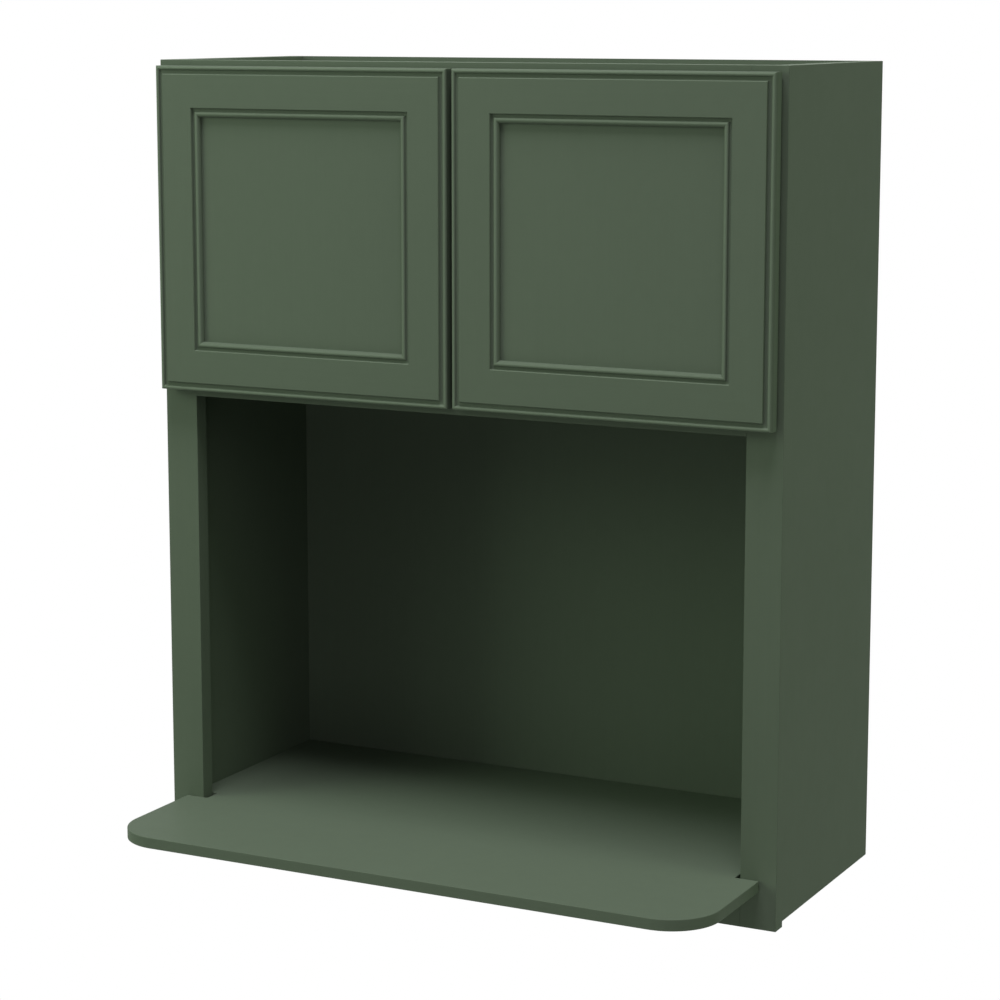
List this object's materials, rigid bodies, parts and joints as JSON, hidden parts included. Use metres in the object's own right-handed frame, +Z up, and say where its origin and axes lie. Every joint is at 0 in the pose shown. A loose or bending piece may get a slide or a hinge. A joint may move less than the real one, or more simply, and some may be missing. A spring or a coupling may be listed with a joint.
{
  "type": "microwave wall cabinet",
  "caption": "Framed wall cabinet with hinged moulded doors over an open bay, its floor a deep notched shelf that projects forward to carry a microwave oven.",
  "frame": {"origin": "middle of the back board's rear face, on the wall", "axes": "+X to the cabinet's right as seen from the room, +Y into the wall, +Z up"},
  "size_m": [0.762, 0.4509, 0.9144],
  "materials": {
    "green_paint": "satin sage-green paint on wood",
    "bare_plywood": "clear-coated birch plywood",
    "nickel_steel": "nickel-plated pressed steel",
    "clear_bumper": "clear soft bumper"
  },
  "bodies": {
    "cabinet": {"left_stile": "green_paint", "right_stile": "green_paint", "bottom_rail": "green_paint", "middle_rail": "green_paint", "top_rail": "green_paint", "left_side_panel": "green_paint", "right_side_panel": "green_paint", "bottom_panel": "green_paint", "deck_panel": "green_paint", "top_panel": "green_paint", "back_panel": "green_paint", "upper_hanging_rail": "bare_plywood", "lower_hanging_rail": "bare_plywood", "microwave_shelf": "green_paint", "left_upper_hinge_arm": "nickel_steel", "left_lower_hinge_arm": "nickel_steel", "right_upper_hinge_arm": "nickel_steel", "right_lower_hinge_arm": "nickel_steel"},
    "left_door": {"left_door_hinge_stile": "green_paint", "left_door_lock_stile": "green_paint", "left_door_top_rail": "green_paint", "left_door_bottom_rail": "green_paint", "left_door_panel": "green_paint", "left_upper_hinge_cup": "nickel_steel", "left_lower_hinge_cup": "nickel_steel", "left_upper_hinge_pin": "nickel_steel", "left_lower_hinge_pin": "nickel_steel", "left_upper_bumper": "clear_bumper", "left_lower_bumper": "clear_bumper"},
    "right_door": {"right_door_hinge_stile": "green_paint", "right_door_lock_stile": "green_paint", "right_door_top_rail": "green_paint", "right_door_bottom_rail": "green_paint", "right_door_panel": "green_paint", "right_upper_hinge_cup": "nickel_steel", "right_lower_hinge_cup": "nickel_steel", "right_upper_hinge_pin": "nickel_steel", "right_lower_hinge_pin": "nickel_steel", "right_upper_bumper": "clear_bumper", "right_lower_bumper": "clear_bumper"}
  },
  "joints": [
    {"name": "left_door_swing", "type": "hinge", "parent": "cabinet", "child": "left_door", "pos_m": [-0.36725, -0.29675, 0.2635], "axis": [0, 0, -1], "range_deg": [0, 105]},
    {"name": "right_door_swing", "type": "hinge", "parent": "cabinet", "child": "right_door", "pos_m": [0.36725, -0.29675, 0.2635], "axis": [0, 0, 1], "range_deg": [0, 105]}
  ]
}
